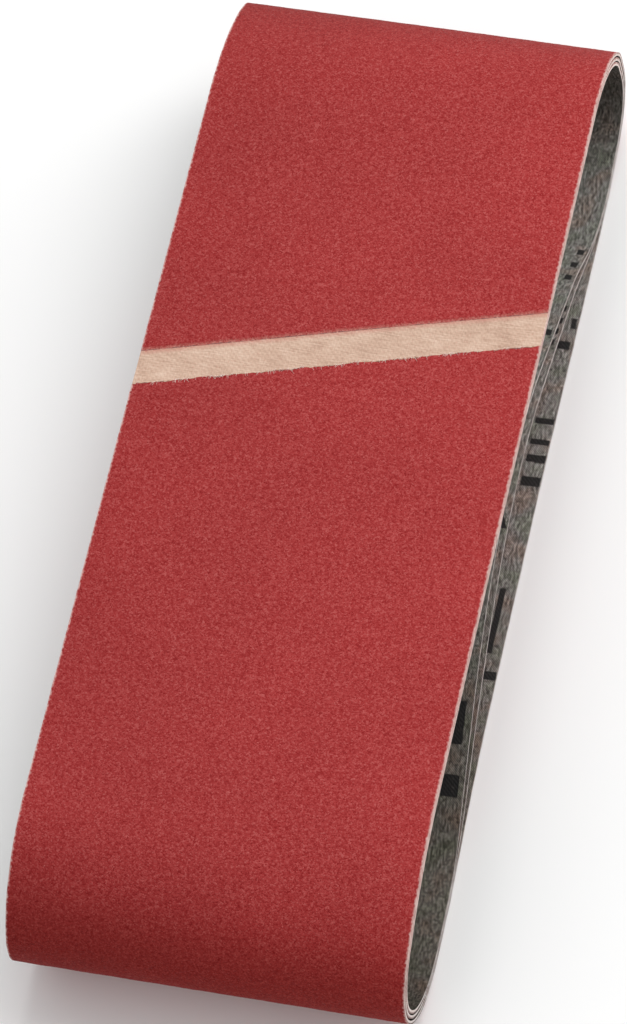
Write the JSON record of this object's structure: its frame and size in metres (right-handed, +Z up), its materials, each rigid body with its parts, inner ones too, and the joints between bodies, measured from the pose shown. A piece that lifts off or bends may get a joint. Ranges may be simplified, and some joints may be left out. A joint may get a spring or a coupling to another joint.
{
  "type": "sanding belt set",
  "caption": "Endless cloth sanding belts for a hand-held belt sander, nested and pressed flat, each with a skewed lap joint.",
  "frame": {"origin": "under the middle of the outer belt, on the face of its lower strand that the stack lies on", "axes": "+X across the belts' width, +Y along the flattened loops, +Z up through the stack"},
  "size_m": [0.1, 0.2798, 0.052],
  "materials": {
    "cloth": "matte",
    "make_coat": "satin",
    "abrasive": "matte",
    "joint_film": "satin"
  },
  "bodies": {
    "outer_belt": {"outer_cloth_backing": "cloth", "outer_make_coat": "make_coat", "outer_abrasive_coat": "abrasive", "outer_joint_film": "joint_film"},
    "middle_belt": {"middle_cloth_backing": "cloth", "middle_make_coat": "make_coat", "middle_abrasive_coat": "abrasive", "middle_joint_film": "joint_film"},
    "inner_belt": {"inner_cloth_backing": "cloth", "inner_make_coat": "make_coat", "inner_abrasive_coat": "abrasive", "inner_joint_film": "joint_film"}
  },
  "joints": [
    {"name": "middle_belt_pull_out", "type": "slide", "parent": "outer_belt", "child": "middle_belt", "axis": [1, 0, 0], "range_m": [-0.11, 0.11]},
    {"name": "inner_belt_pull_out", "type": "slide", "parent": "middle_belt", "child": "inner_belt", "axis": [1, 0, 0], "range_m": [-0.11, 0.11]}
  ]
}
